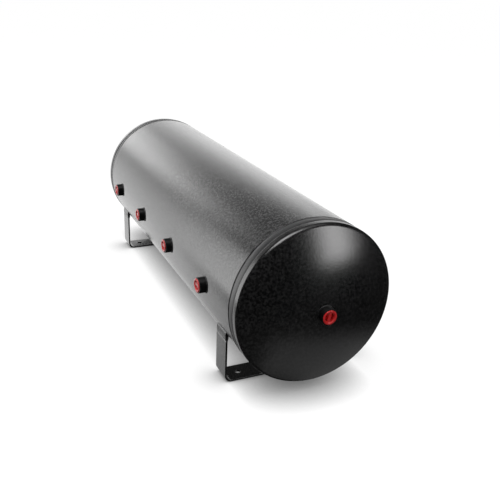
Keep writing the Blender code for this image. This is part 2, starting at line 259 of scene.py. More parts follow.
@cached
def orange_peel_group() -> bpy.types.NodeTree:
    """Shader group for a sprayed coat's skin: soft ripples under a fine grain, and pale flecks.

    Returns:
        A group that puts out Tone, about one half, and Height and Fleck, from 0 to 1.
    """
    graph, given, result = new_group(
        "orange_peel", "ShaderNodeTree",
        {"Vector": "NodeSocketVector", "Ripple": 350.0, "Grain": 1700.0, "Grain Share": 0.35},
        {"Tone": "NodeSocketFloat", "Height": "NodeSocketFloat", "Fleck": "NodeSocketFloat"})
    ripple = graph.noise(given["Vector"], given["Ripple"], detail=1.0)
    grain = graph.noise(given["Vector"], given["Grain"], detail=2.0,
                        roughness=0.7)
    mixed = graph.add("ShaderNodeMix", {"Factor": given["Grain Share"], "A": ripple,
                                        "B": grain})
    graph.feed(result["Tone"], graph.remap(grain, 0.3, 0.7))
    graph.feed(result["Height"], mixed.outputs["Result"])
    # The flecks are as large as the ripples but don't lie on them
    elsewhere = graph.vector_math("ADD", given["Vector"], (0.5, 0.5, 0.5))
    fleck = graph.noise(elsewhere, given["Ripple"], detail=3.0, roughness=0.75)
    graph.feed(result["Fleck"], graph.remap(fleck, 0.46, 0.58))
    return graph.tree


@cached
def edge_wear_group() -> bpy.types.NodeTree:
    """Shader group for pale edges where a surface turns sharply, broken up by noise: partly worn
    paint, partly a painted highlight on every sharp edge.

    Returns:
        A group that puts out Mask, 1 on a worn edge with its painted highlight and 0 on open
        surface.
    """
    graph, given, result = new_group(
        "edge_wear", "ShaderNodeTree",
        {"Vector": "NodeSocketVector", "Reach": 0.0012, "Breakup": 260.0, "Amount": 0.5},
        {"Mask": "NodeSocketFloat"})
    # The mask marks every sharp edge alike, so the pale colour it brings is a painted edge highlight
    # as well as worn paint
    rounded = graph.add("ShaderNodeBevel", {"Radius": given["Reach"]}, samples=4)
    plain = graph.add("ShaderNodeNewGeometry")
    match = graph.vector_math("DOT_PRODUCT", rounded.outputs["Normal"], plain.outputs["Normal"],
                              "Value")
    edge = graph.remap(match, 0.995, 0.90)
    patches = graph.remap(graph.noise(given["Vector"], given["Breakup"], 4.0),
                          0.42, 0.62)
    worn = graph.math("MULTIPLY", edge, patches)
    graph.feed(result["Mask"], graph.math("MULTIPLY", worn, given["Amount"], True))
    return graph.tree


@cached
def handling_group() -> bpy.types.NodeTree:
    """Shader group for the uneven sheen that handling and drifting overspray leave.

    Returns:
        A group that puts out Mask, from 0 to 1, drawn out along the tank.
    """
    graph, given, result = new_group(
        "handling_haze", "ShaderNodeTree",
        {"Vector": "NodeSocketVector", "Patch": 9.0, "Stretch": 0.35},
        {"Mask": "NodeSocketFloat"})
    drawn = graph.vector_math("MULTIPLY", given["Vector"],
                              graph.vector(given["Stretch"], 1.0, 1.0))
    broad = graph.noise(drawn, given["Patch"], 3.0, 0.6)
    graph.feed(result["Mask"], graph.remap(broad, 0.35, 0.65, smooth=True))
    return graph.tree


# ---------------------------------------------------------------------------------- finishes

class Surface:
    """One material under construction, with its Principled shader and Object coordinates."""

    def __init__(self, name: str) -> None:
        """Starts a material.

        Args:
            name: The material's name.
        """
        self.material = bpy.data.materials.new(name)
        self.material.use_nodes = True
        self.graph = Graph(self.material.node_tree)
        self.shader = self.material.node_tree.nodes["Principled BSDF"]
        coordinates = self.graph.add("ShaderNodeTexCoord")
        self.place = coordinates.outputs["Object"]

    def group(self, tree: bpy.types.NodeTree, **values: float) -> bpy.types.Node:
        """Adds a shared shader group that reads this surface's place.

        Args:
            tree: The group's tree.
            **values: Inputs by name, with spaces written as underscores.

        Returns:
            The group node.
        """
        inputs: dict[Union[str, int], Feed] = {"Vector": self.place}
        for name, value in values.items():
            inputs[name.replace("_", " ")] = value
        node = self.graph.tree.nodes.new("ShaderNodeGroup")
        node.node_tree = tree
        for key, value in inputs.items():
            self.graph.feed(node.inputs[key], value)
        return node

    def set(self, **values: Feed) -> None:
        """Sets or joins inputs of the shader, with spaces written as underscores."""
        for name, value in values.items():
            self.graph.feed(self.shader.inputs[name.replace("_", " ")], value)

    def bump(self, height: Feed, distance: float, strength: float = 1.0) -> None:
        """Bends the shader's normal by a height field.

        Args:
            height: Height from 0 to 1.
            distance: Depth in metres that a height of 1 stands for.
            strength: How much of the bump shows.
        """
        node = self.graph.add("ShaderNodeBump", {"Height": height, "Distance": distance,
                                                 "Strength": strength})
        self.set(Normal=node.outputs["Normal"])


@dataclass(frozen=True)
class SatinCoat:
    """Sprayed satin black coat on steel."""

    name: str
    colour: Colour = (0.016, 0.016, 0.017)
    dusty_colour: Colour = (0.030, 0.030, 0.031)
    # Pale colour of worn edges, which also serves as a painted highlight along every sharp edge
    worn_colour: Colour = (0.11, 0.11, 0.115)
    roughness: float = 0.40
    roughness_spread: float = 0.07
    specular: float = 0.5
    ripple: float = 350.0
    grain: float = 1700.0
    peel_depth: float = 0.00006
    fleck_share: float = 0.75
    haze_share: float = 0.20
    # How strongly sharp edges turn pale, as worn paint and as a painted highlight
    wear: float = 0.5
    wear_reach: float = 0.0012

    def material(self) -> bpy.types.Material:
        """Builds the coat's material.

        Returns:
            The finished material.
        """
        surface = Surface(self.name)
        graph = surface.graph
        peel = surface.group(orange_peel_group(), Ripple=self.ripple, Grain=self.grain)
        haze = surface.group(handling_group())
        wear = surface.group(edge_wear_group(), Reach=self.wear_reach, Amount=self.wear)
        flecks = graph.math("MULTIPLY", peel.outputs["Fleck"], self.fleck_share)
        drift = graph.math("MULTIPLY", haze.outputs["Mask"], self.haze_share)
        dusty = graph.math("ADD", flecks, drift)
        coat = graph.mix_colour(dusty, rgba(self.colour), rgba(self.dusty_colour))
        # Sharp edges turn pale: partly worn paint, partly a painted edge highlight
        colour = graph.mix_colour(wear.outputs["Mask"], coat, rgba(self.worn_colour))
        dull = graph.remap(haze.outputs["Mask"], 0.0, 1.0, self.roughness,
                           self.roughness + self.roughness_spread)
        spread = graph.math("MULTIPLY", peel.outputs["Tone"], self.roughness_spread)
        surface.set(Base_Color=colour, Roughness=graph.math("ADD", dull, spread),
                    Specular_IOR_Level=self.specular)
        surface.bump(peel.outputs["Height"], self.peel_depth)
        return surface.material


@dataclass(frozen=True)
class MouldedPlastic:
    """Soft red injection-moulded plastic of the port plugs."""

    name: str
    colour: Colour = (0.62, 0.010, 0.012)
    pale_colour: Colour = (0.76, 0.040, 0.042)
    # Pale red of scuffed rims, which also serves as a painted highlight along the plug's edges
    rubbed_colour: Colour = (0.80, 0.20, 0.19)
    roughness: float = 0.24
    roughness_spread: float = 0.10
    specular: float = 0.8
    subsurface: float = 0.05
    subsurface_depth: float = 0.0011
    texture: float = 2200.0
    texture_depth: float = 0.00002
    flow: float = 210.0

    def material(self) -> bpy.types.Material:
        """Builds the plastic's material.

        Returns:
            The finished material.
        """
        surface = Surface(self.name)
        graph = surface.graph
        peel = surface.group(orange_peel_group(), Ripple=self.texture / 4, Grain=self.texture)
        flow = graph.remap(graph.noise(surface.place, self.flow, 3.0), 0.35, 0.65)
        # Pale rims: partly scuffed plastic, partly a painted edge highlight
        scuffed_and_lit_edges = surface.group(edge_wear_group(), Reach=0.0006, Amount=0.45, Breakup=900.0)
        body = graph.mix_colour(graph.math("MULTIPLY", flow, 0.5), rgba(self.colour),
                                rgba(self.pale_colour))
        colour = graph.mix_colour(scuffed_and_lit_edges.outputs["Mask"], body, rgba(self.rubbed_colour))
        surface.set(Base_Color=colour,
                    Roughness=graph.remap(peel.outputs["Tone"], 0.0, 1.0, self.roughness,
                                          self.roughness + self.roughness_spread),
                    Specular_IOR_Level=self.specular, Subsurface_Weight=self.subsurface,
                    Subsurface_Radius=(1.0, 0.25, 0.2), Subsurface_Scale=self.subsurface_depth)
        surface.bump(peel.outputs["Height"], self.texture_depth)
        return surface.material


@dataclass(frozen=True)
class BareSteel:
    """Machined or mill-scaled steel that the coat doesn't reach."""

    name: str
    colour: Colour = (0.30, 0.29, 0.28)
    stained_colour: Colour = (0.12, 0.10, 0.085)
    roughness: float = 0.36
    metallic: float = 0.9
    stain: float = 70.0
    relief: float = 0.00003

    def material(self) -> bpy.types.Material:
        """Builds the steel's material.

        Returns:
            The finished material.
        """
        surface = Surface(self.name)
        graph = surface.graph
        peel = surface.group(orange_peel_group(), Ripple=900.0, Grain=3200.0)
        stain = graph.remap(graph.noise(surface.place, self.stain, 5.0, 0.65), 0.42, 0.62)
        surface.set(Base_Color=graph.mix_colour(stain, rgba(self.colour),
                                                rgba(self.stained_colour)),
                    Roughness=graph.remap(stain, 0.0, 1.0, self.roughness, self.roughness + 0.25),
                    Metallic=graph.remap(stain, 0.0, 1.0, self.metallic, self.metallic - 0.4))
        surface.bump(peel.outputs["Height"], self.relief)
        return surface.material


class Finishes:
    """Every material of the tank, built once."""

    def __init__(self) -> None:
        """Builds the materials."""
        self.shell = SatinCoat(
            "shell_satin_coat", colour=(0.002, 0.002, 0.0022), dusty_colour=(0.078, 0.078, 0.0787),
            roughness=0.18, roughness_spread=0.03, specular=0.85, ripple=350.0,
            peel_depth=0.00010).material()
        # The head wears the shell's satin black paint; this copy's darker colours are painted shade
        self.head = SatinCoat(
            "head_satin_coat", colour=(0.0005, 0.0005, 0.0006), dusty_colour=(0.026, 0.026, 0.0264),
            roughness=0.19, roughness_spread=0.03, specular=0.80, ripple=360.0,
            peel_depth=0.00009, wear=0.3).material()
        self.weld = SatinCoat(
            "weld_satin_coat", colour=(0.010, 0.010, 0.011), dusty_colour=(0.020, 0.020, 0.021),
            roughness=0.34, specular=0.7, ripple=700.0, peel_depth=0.00010, wear=0.35,
            wear_reach=0.0006).material()
        # The collars wear the shell's satin black paint; this copy's darker colours are painted
        # shade
        self.bung = SatinCoat(
            "collar_satin_coat", colour=(0.002, 0.002, 0.0022), dusty_colour=(0.007, 0.007, 0.0072),
            roughness=0.36, roughness_spread=0.05, specular=0.20, wear=0.2,
            wear_reach=0.0006).material()
        # The collar welds wear the same paint as the other welds; this copy's darker colours are
        # painted shade
        self.collar_weld = SatinCoat(
            "collar_weld_satin_coat", colour=(0.005, 0.005, 0.0055),
            dusty_colour=(0.011, 0.011, 0.0115), roughness=0.32, specular=0.4, ripple=700.0,
            peel_depth=0.00008, wear=0.3, wear_reach=0.0005).material()
        # The straps wear the shell's satin black paint; this copy's darker flecks are painted shade
        self.bracket = SatinCoat(
            "bracket_satin_coat", colour=(0.002, 0.002, 0.0022), dusty_colour=(0.016, 0.016, 0.0165),
            roughness=0.18, roughness_spread=0.03, specular=0.95, ripple=340.0,
            peel_depth=0.00012, wear=0.25).material()
        self.plug = MouldedPlastic("red_plug_plastic").material()
        self.thread = BareSteel("cut_thread_steel").material()
        self.scale = BareSteel(
            "mill_scale_steel", colour=(0.10, 0.10, 0.105), stained_colour=(0.07, 0.055, 0.045),
            roughness=0.5, metallic=0.6).material()


# --------------------------------------------------------------------------- meshes and pieces

def arc(centre: Point2, radius: float, start: float, end: float, step: float) -> list[Point2]:
    """Points along an arc.

    Args:
        centre: The arc's centre.
        radius: Its radius.
        start: First angle in degrees.
        end: Last angle in degrees.
        step: Largest angle between points, in degrees.

    Returns:
        The points, both ends included.
    """
    count = max(2, math.ceil(abs(end - start) / step))
    angles = [math.radians(start + (end - start) * i / count) for i in range(count + 1)]
    return [(centre[0] + radius * math.cos(a), centre[1] + radius * math.sin(a)) for a in angles]


def standing(origin: Vector, outward: Vector, clocking: float = 0.0) -> Matrix:
    """Matrix that stands a piece's own Z along a direction.

    Args:
        origin: Where the piece's own origin goes.
        outward: Where its Z goes.
        clocking: Turn about that direction, in degrees.

    Returns:
        The placing matrix.
    """
    turn = outward.to_track_quat("Z", "Y") @ Quaternion((0, 0, 1), math.radians(clocking))
    return Matrix.Translation(origin) @ turn.to_matrix().to_4x4()


def mesh_from(work: bmesh.types.BMesh, name: str) -> bpy.types.Mesh:
    """Turns a bmesh into a mesh with merged points and outward faces, and frees it."""
    bmesh.ops.remove_doubles(work, verts=work.verts, dist=0.000002)
    bmesh.ops.recalc_face_normals(work, faces=work.faces)
    mesh = bpy.data.meshes.new(name)
    work.to_mesh(mesh)
    work.free()
    return mesh


def turned(name: str, profile: Sequence[Point2], segments: int,
           closed: bool = True) -> bpy.types.Mesh:
    """Spins a profile of (radius, height) points round Z.

    Args:
        name: The mesh's name.
        profile: The profile's points in order.
        segments: Facets round the axis.
        closed: Whether the last point joins the first. An open profile ends on the axis.

    Returns:
        The closed turned mesh.
    """
    work = bmesh.new()
    points = [work.verts.new((radius, 0.0, height)) for radius, height in profile]
    edges = [work.edges.new(pair) for pair in zip(points, points[1:])]
    if closed:
        edges.append(work.edges.new((points[-1], points[0])))
    bmesh.ops.spin(work, geom=points + edges, cent=(0, 0, 0), axis=(0, 0, 1),
                   angle=2 * math.pi, steps=segments, use_duplicate=False)
    return mesh_from(work, name)


def evaluated(source: bpy.types.Object, name: str) -> bpy.types.Mesh:
    """Applies an object's modifiers and removes the object.

    Args:
        source: The object with its live modifiers.
        name: The new mesh's name.

    Returns:
        A plain mesh with the modifiers' result.
    """
    bpy.context.view_layer.update()
    graph = bpy.context.evaluated_depsgraph_get()
    mesh = bpy.data.meshes.new_from_object(source.evaluated_get(graph))
    mesh.name = name
    bpy.data.objects.remove(source, do_unlink=True)
    return mesh


def helper_object(name: str, mesh: bpy.types.Mesh) -> bpy.types.Object:
    """Puts a mesh in the scene for as long as its modifiers are worked out."""
    helper = bpy.data.objects.new(name, mesh)
    bpy.context.scene.collection.objects.link(helper)
    return helper


def run_tree(source: bpy.types.Mesh, tree: bpy.types.NodeTree, name: str,
             **values: Any) -> bpy.types.Mesh:
    """Runs a geometry node tree on a mesh.

    Args:
        source: The mesh that the tree starts from.
        tree: The tree.
        name: The result's name.
        **values: The tree's inputs by name, with spaces written as underscores.

    Returns:
        The result as a plain mesh.
    """
    helper = helper_object(f"{name}_source", source)
    modifier = helper.modifiers.new("nodes", "NODES")
    modifier.node_group = tree
    for socket in tree.interface.items_tree:
        key = socket.name.replace(" ", "_")
        if socket.in_out == "INPUT" and key in values:
            modifier[socket.identifier] = values[key]
    return evaluated(helper, name)


def bevelled(mesh: bpy.types.Mesh, width: float, segments: int = 2,
             angle: float = 35.0) -> bpy.types.Mesh:
    """Rounds a mesh's sharp edges.

    Args:
        mesh: The mesh.
        width: Width of the rounding.
        segments: Facets across it.
        angle: Edges that turn by more than this many degrees are rounded.

    Returns:
        A new mesh with the edges rounded.
    """
    helper = helper_object(f"{mesh.name}_rounding", mesh)
    modifier = helper.modifiers.new("rounding", "BEVEL")
    modifier.width = width
    modifier.segments = segments
    modifier.limit_method = "ANGLE"
    modifier.angle_limit = math.radians(angle)
    return evaluated(helper, mesh.name)


def combined(mesh: bpy.types.Mesh, tool: bpy.types.Mesh, operation: str) -> bpy.types.Mesh:
    """Joins two closed meshes, or cuts one with the other.

    Args:
        mesh: The mesh to work on.
        tool: The other mesh.
        operation: UNION or DIFFERENCE.

    Returns:
        The exact result as a new mesh.
    """
    helper = helper_object(f"{mesh.name}_work", mesh)
    other = helper_object(f"{mesh.name}_tool", tool)
    modifier = helper.modifiers.new("combine", "BOOLEAN")
    modifier.operation = operation
    modifier.solver = "EXACT"
    modifier.object = other
    result = evaluated(helper, mesh.name)
    bpy.data.objects.remove(other, do_unlink=True)
    return result


def gather(mesh: bpy.types.Mesh, *others: bpy.types.Mesh, outward: bool = True) -> None:
    """Adds other meshes to a mesh.

    Args:
        mesh: The mesh that takes them up.
        *others: The meshes to add, if any.
        outward: Whether all its faces are then pointed outwards.
    """
    work = bmesh.new()
    for part in (mesh, *others):
        work.from_mesh(part)
    if outward:
        bmesh.ops.recalc_face_normals(work, faces=work.faces)
    work.to_mesh(mesh)
    work.free()


def path_mesh(name: str, points: Sequence[Vector], closed: bool) -> bpy.types.Mesh:
    """A chain of edges for a node tree to follow."""
    mesh = bpy.data.meshes.new(name)
    edges = [(i, i + 1) for i in range(len(points) - 1)]
    if closed:
        edges.append((len(points) - 1, 0))
    mesh.from_pydata([tuple(point) for point in points], edges, [])
    return mesh


def finish_piece(name: str, mesh: bpy.types.Mesh, materials: Sequence[bpy.types.Material],
                 slot: Slot, nodes: Sequence[str], body: str = TANK_BODY,
                 angle: float = 30.0, bare: Sequence[bool] = ()) -> bpy.types.Object:
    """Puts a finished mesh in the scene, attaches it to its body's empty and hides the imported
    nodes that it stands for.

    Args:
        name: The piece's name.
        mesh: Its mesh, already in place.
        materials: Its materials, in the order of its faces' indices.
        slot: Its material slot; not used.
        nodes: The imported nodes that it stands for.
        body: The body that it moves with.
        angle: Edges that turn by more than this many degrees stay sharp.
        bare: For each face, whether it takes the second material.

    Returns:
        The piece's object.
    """
    mesh.materials.clear()
    for material in materials:
        mesh.materials.append(material)
    for face, is_bare in zip(mesh.polygons, bare):
        face.material_index = int(is_bare)
    mesh.shade_smooth()
    mesh.set_sharp_from_angle(angle=math.radians(angle))
    piece = bpy.data.objects.new(name, mesh)
    bpy.context.scene.collection.objects.link(piece)
    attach(piece, body)
    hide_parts(*nodes)
    mesh.calc_loop_triangles()
    log.info("%s: %d triangles on %s", name, len(mesh.loop_triangles), body)
    return piece


# --------------------------------------------------------------------------- geometry node trees

@cached
def pierced_shell_tree() -> bpy.types.NodeTree:
    """Geometry nodes that roll a wall section into a shell and pierce its port holes.

    The source is the wall's section as a closed chain of edges: X is the depth from the middle
    of the wall, outwards, and Y runs along the tank. The result's axis is Z, its row of holes
    faces -Y and its drain hole faces +X.

    Returns:
        The tree.
    """
    graph, given, result = new_group(
        "pierced_shell", "GeometryNodeTree",
        {"Section": "NodeSocketGeometry", "Middle Radius": 0.1, "Segments": 256,
         "Hole Radius": 0.01, "Hole Depth": 0.02, "Hole Facets": 64, "Port Count": 4,
         "Port Pitch": 0.1, "Material": "NodeSocketMaterial"},
        {"Shell": "NodeSocketGeometry"})
    section = graph.add("GeometryNodeMeshToCurve", {"Mesh": given["Section"]})
    ring = graph.add("GeometryNodeCurvePrimitiveCircle",
                     {"Resolution": given["Segments"],
                      "Radius": given["Middle Radius"]})
    upright = graph.add("GeometryNodeSetCurveNormal", {"Curve": ring.outputs["Curve"]},
                        mode="Z_UP")
    rolled = graph.add("GeometryNodeCurveToMesh", {"Curve": upright.outputs["Curve"],
                                                   "Profile Curve": section.outputs["Curve"]})
    drill = graph.add("GeometryNodeMeshCylinder",
                      {"Vertices": given["Hole Facets"],
                       "Radius": given["Hole Radius"],
                       "Depth": given["Hole Depth"]})
    # The row of ports: its first drill stands half the row's length below the middle
    gaps = graph.math("SUBTRACT", given["Port Count"], 1.0)
    first = graph.math("MULTIPLY", graph.math("MULTIPLY", gaps, given["Port Pitch"]),
                       -0.5)
    inwards = graph.math("MULTIPLY", given["Middle Radius"], -1.0)
    row_step = graph.vector(0.0, 0.0, given["Port Pitch"])
    row = graph.add("GeometryNodeMeshLine", {"Count": given["Port Count"],
                                             "Start Location": graph.vector(0.0, inwards, first),
                                             "Offset": row_step})
    side_drills = graph.add("GeometryNodeInstanceOnPoints",
                            {"Points": row.outputs["Mesh"], "Instance": drill.outputs["Mesh"],
                             "Rotation": (math.pi / 2, 0.0, 0.0)})
    drain_place = graph.vector(given["Middle Radius"], 0.0, 0.0)
    drain_drill = graph.add("GeometryNodeTransform",
                            {"Geometry": drill.outputs["Mesh"],
                             "Translation": drain_place,
                             "Rotation": (0.0, math.pi / 2, 0.0)})
    drills = graph.add("GeometryNodeJoinGeometry",
                       {"Geometry": side_drills.outputs["Instances"]})
    graph.feed(drills.inputs["Geometry"], drain_drill.outputs["Geometry"])
    solid_drills = graph.add("GeometryNodeRealizeInstances",
                             {"Geometry": drills.outputs["Geometry"]})
    pierced = graph.add("GeometryNodeMeshBoolean", operation="DIFFERENCE", solver="EXACT")
    graph.feed(pierced.inputs["Mesh 1"], rolled.outputs["Mesh"])
    graph.feed(pierced.inputs["Mesh 2"], solid_drills.outputs["Geometry"])
    graph.dress(pierced.outputs["Mesh"], given["Material"], result["Shell"])
    return graph.tree


@cached
def weld_bead_tree() -> bpy.types.NodeTree:
    """Geometry nodes that lay a rippled weld bead along a path.

    The path is a chain of edges with Z as its local upright: the bead's section has its own X
    across that and its own Y along it. Each ripple is the trailing edge of one puddle, so it lags
    towards the bead's toes.

    Returns:
        The tree.
    """
    graph, given, result = new_group(
        "weld_bead", "GeometryNodeTree",
        {"Path": "NodeSocketGeometry", "Half Across": 0.003, "Half Upright": 0.003,
         "Toe Axis": (1, 0, 0), "Ripples": 40, "Ripple Steps": 6, "Ripple Height": 0.0002,
         "Lag": 1.2, "End Taper": 0.0, "Wander": 0.0002, "Wander Scale": 60.0,
         "Section Facets": 16, "Seed": 0.0, "Material": "NodeSocketMaterial"},
        {"Bead": "NodeSocketGeometry"})
    chain = graph.add("GeometryNodeMeshToCurve", {"Mesh": given["Path"]})
    points = graph.math("MULTIPLY", given["Ripples"], given["Ripple Steps"])
    fine = graph.add("GeometryNodeResampleCurve", {"Curve": chain.outputs["Curve"],
                                                   "Count": points})
    upright = graph.add("GeometryNodeSetCurveNormal", {"Curve": fine.outputs["Curve"]},
                        mode="Z_UP")
    travel = graph.add("GeometryNodeSplineParameter")
    tracked = graph.add("GeometryNodeCaptureAttribute",
                        {"Geometry": upright.outputs["Curve"]})
    tracked.capture_items.new("FLOAT", "Travel")
    graph.feed(tracked.inputs["Travel"], travel.outputs["Factor"])

    circle = graph.add("GeometryNodeCurvePrimitiveCircle",
                       {"Resolution": given["Section Facets"], "Radius": 1.0})
    here = graph.add("GeometryNodeInputPosition")
    section = graph.add("GeometryNodeCaptureAttribute", {"Geometry": circle.outputs["Curve"]})
    section.capture_items.new("VECTOR", "Around")
    graph.feed(section.inputs["Around"], here.outputs["Position"])
    size = graph.vector(given["Half Across"], given["Half Upright"], 1.0)
    sized = graph.add("GeometryNodeTransform", {"Geometry": section.outputs["Geometry"],
                                                "Scale": size})

    # Open beads close in at their ends: scale = sqrt(distance from the nearer end / taper)
    from_end = graph.math("MINIMUM", travel.outputs["Factor"],
                          graph.math("SUBTRACT", 1.0, travel.outputs["Factor"]))
    share = graph.math("DIVIDE", from_end, graph.math("MAXIMUM", given["End Taper"],
                                                      0.0001))
    tapered = graph.math("POWER", graph.math("ADD", share, 0.06, clamp=True), 0.5)
    is_open = graph.math("GREATER_THAN", given["End Taper"], 0.0)
    scale = graph.add("ShaderNodeMix", {"Factor": is_open, "A": 1.0, "B": tapered})
    swept = graph.add("GeometryNodeCurveToMesh", {"Curve": tracked.outputs["Geometry"],
                                                  "Profile Curve": sized.outputs["Geometry"],
                                                  "Scale": scale.outputs["Result"],
                                                  "Fill Caps": True})

    toe = graph.vector_math("DOT_PRODUCT", section.outputs["Around"], given["Toe Axis"],
                            "Value")
    lag = graph.math("MULTIPLY", graph.math("MULTIPLY", toe, toe), given["Lag"])
    turns = graph.math("MULTIPLY", tracked.outputs["Travel"], given["Ripples"])
    phase = graph.math("ADD", graph.math("MULTIPLY", turns, math.pi), lag)
    crest = graph.math("SUBTRACT", graph.math("ABSOLUTE", graph.math("SINE", phase)), 0.6)
    ripple = graph.math("MULTIPLY", crest, given["Ripple Height"])
    drift = graph.add("ShaderNodeTexNoise", {"W": given["Seed"],
                                             "Scale": given["Wander Scale"],
                                             "Detail": 2.0}, noise_dimensions="4D")
    centred = graph.math("SUBTRACT", drift.outputs[0], 0.5)
    wander = graph.math("MULTIPLY", centred, given["Wander"])
    normal = graph.add("GeometryNodeInputNormal")
    lift = graph.add("ShaderNodeVectorMath", {0: normal.outputs["Normal"]}, operation="SCALE")
    graph.feed(lift.inputs["Scale"], graph.math("ADD", ripple, wander))
    laid = graph.add("GeometryNodeSetPosition", {"Geometry": swept.outputs["Mesh"],
                                                 "Offset": lift.outputs["Vector"]})
    graph.dress(laid.outputs["Geometry"], given["Material"], result["Bead"])
    return graph.tree


@cached
def thread_tree() -> bpy.types.NodeTree:
    """Geometry nodes that wind a thread's ridge down the inside of a bore.

    The source is the ridge's section, a closed chain of edges in X, across, and Y, along.

    Returns:
        The tree, whose result starts at Z = 0 and runs up by the thread's length.
    """
    graph, given, result = new_group(
        "bore_thread", "GeometryNodeTree",
        {"Section": "NodeSocketGeometry", "Root Radius": 0.007, "Turns": 8.0,
         "Length": 0.011, "Steps per Turn": 40, "Material": "NodeSocketMaterial"},
        {"Thread": "NodeSocketGeometry"})
    helix = graph.add("GeometryNodeCurveSpiral",
                      {"Resolution": given["Steps per Turn"],
                       "Rotations": given["Turns"],
                       "Start Radius": given["Root Radius"],
                       "End Radius": given["Root Radius"],
                       "Height": given["Length"]})
    upright = graph.add("GeometryNodeSetCurveNormal", {"Curve": helix.outputs["Curve"]},
                        mode="Z_UP")
    section = graph.add("GeometryNodeMeshToCurve", {"Mesh": given["Section"]})
    ridge = graph.add("GeometryNodeCurveToMesh", {"Curve": upright.outputs["Curve"],
                                                  "Profile Curve": section.outputs["Curve"],
                                                  "Fill Caps": True})
    graph.dress(ridge.outputs["Mesh"], given["Material"], result["Thread"])
    return graph.tree


@cached
def crush_rib_tree() -> bpy.types.NodeTree:
    """Geometry nodes that set crush ribs round a plug's stem.

    The source is one rib, standing along Z at +X.

    Returns:
        The tree.
    """
    graph, given, result = new_group(
        "crush_ribs", "GeometryNodeTree",
        {"Rib": "NodeSocketGeometry", "Count": 8, "Material": "NodeSocketMaterial"},
        {"Ribs": "NodeSocketGeometry"})
    spots = graph.add("GeometryNodeMeshLine", {"Count": given["Count"],
                                               "Offset": (0.0, 0.0, 0.0)})
    index = graph.add("GeometryNodeInputIndex")
    step = graph.math("DIVIDE", 2 * math.pi, given["Count"])
    angle = graph.math("MULTIPLY", index.outputs["Index"], step)
    rotation = graph.add("FunctionNodeEulerToRotation",
                         {"Euler": graph.vector(0.0, 0.0, angle)})
    ribs = graph.add("GeometryNodeInstanceOnPoints",
                     {"Points": spots.outputs["Mesh"], "Instance": given["Rib"],
                      "Rotation": rotation.outputs["Rotation"]})
    graph.dress(ribs.outputs["Instances"], given["Material"], result["Ribs"])
    return graph.tree


# --------------------------------------------------------------------------------- sub-assemblies

@dataclass
class WeldBead:
    """One run of weld, laid in its own frame and then put in place."""

    half_across: float
    half_upright: float
    toe_axis: tuple[float, float, float]
    pitch: float = 0.0026
    ripple_height: float = 0.00022
    lag: float = 1.2
    end_taper: float = 0.0
    wander: float = 0.00025
    facets: int = 16
    seed: float = 0.0

    def lay(self, name: str, path: Sequence[Vector], closed: bool,
            material: bpy.types.Material) -> bpy.types.Mesh:
        """Lays the bead along a path.

        Args:
            name: The mesh's name.
            path: Points along the bead's middle, in its own frame.
            closed: Whether the path closes on itself.
            material: The bead's finish.

        Returns:
            The bead's mesh, in its own frame.
        """
        ends = list(path[1:]) + ([path[0]] if closed else [])
        length = sum((b - a).length for a, b in zip(path, ends))
        mesh = run_tree(path_mesh(f"{name}_path", path, closed), weld_bead_tree(), name,
                        Half_Across=self.half_across, Half_Upright=self.half_upright,
                        Toe_Axis=self.toe_axis, Ripples=max(2, round(length / self.pitch)),
                        Ripple_Height=self.ripple_height, Lag=self.lag,
                        End_Taper=self.end_taper, Wander=self.wander,
                        Section_Facets=self.facets, Seed=self.seed, Material=material)
        gather(mesh)
        return mesh


